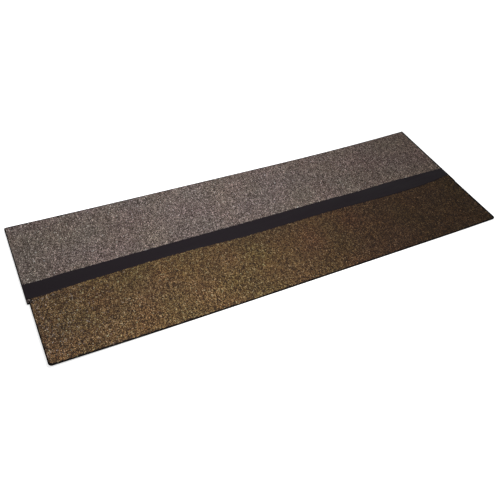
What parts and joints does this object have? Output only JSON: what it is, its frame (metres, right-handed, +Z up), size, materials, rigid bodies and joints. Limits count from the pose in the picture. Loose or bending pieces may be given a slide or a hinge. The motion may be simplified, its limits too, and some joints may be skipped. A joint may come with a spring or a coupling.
{
  "type": "asphalt strip shingle",
  "caption": "Rectangular roofing strip with a brown granule tab, a grey granule headlap, a black self-seal band between them and small cut-backs at the tab's ends.",
  "frame": {"origin": "on the floor under the middle of the strip's length and width", "axes": "+X along the strip, +Y from the exposed front edge to the covered back edge, +Z up through the granule face"},
  "size_m": [1, 0.337, 0.013],
  "materials": {
    "coated_sheet": "stone granules in mineral-filled asphalt",
    "self_seal_asphalt": "satin",
    "release_film": "satin",
    "tab_granules": "crushed and coloured stone chips",
    "headlap_granules": "crushed stone chips"
  },
  "bodies": {
    "root": {"shingle_sheet": "coated_sheet", "self_seal_band": "self_seal_asphalt", "release_film": "release_film"}
  },
  "joints": []
}
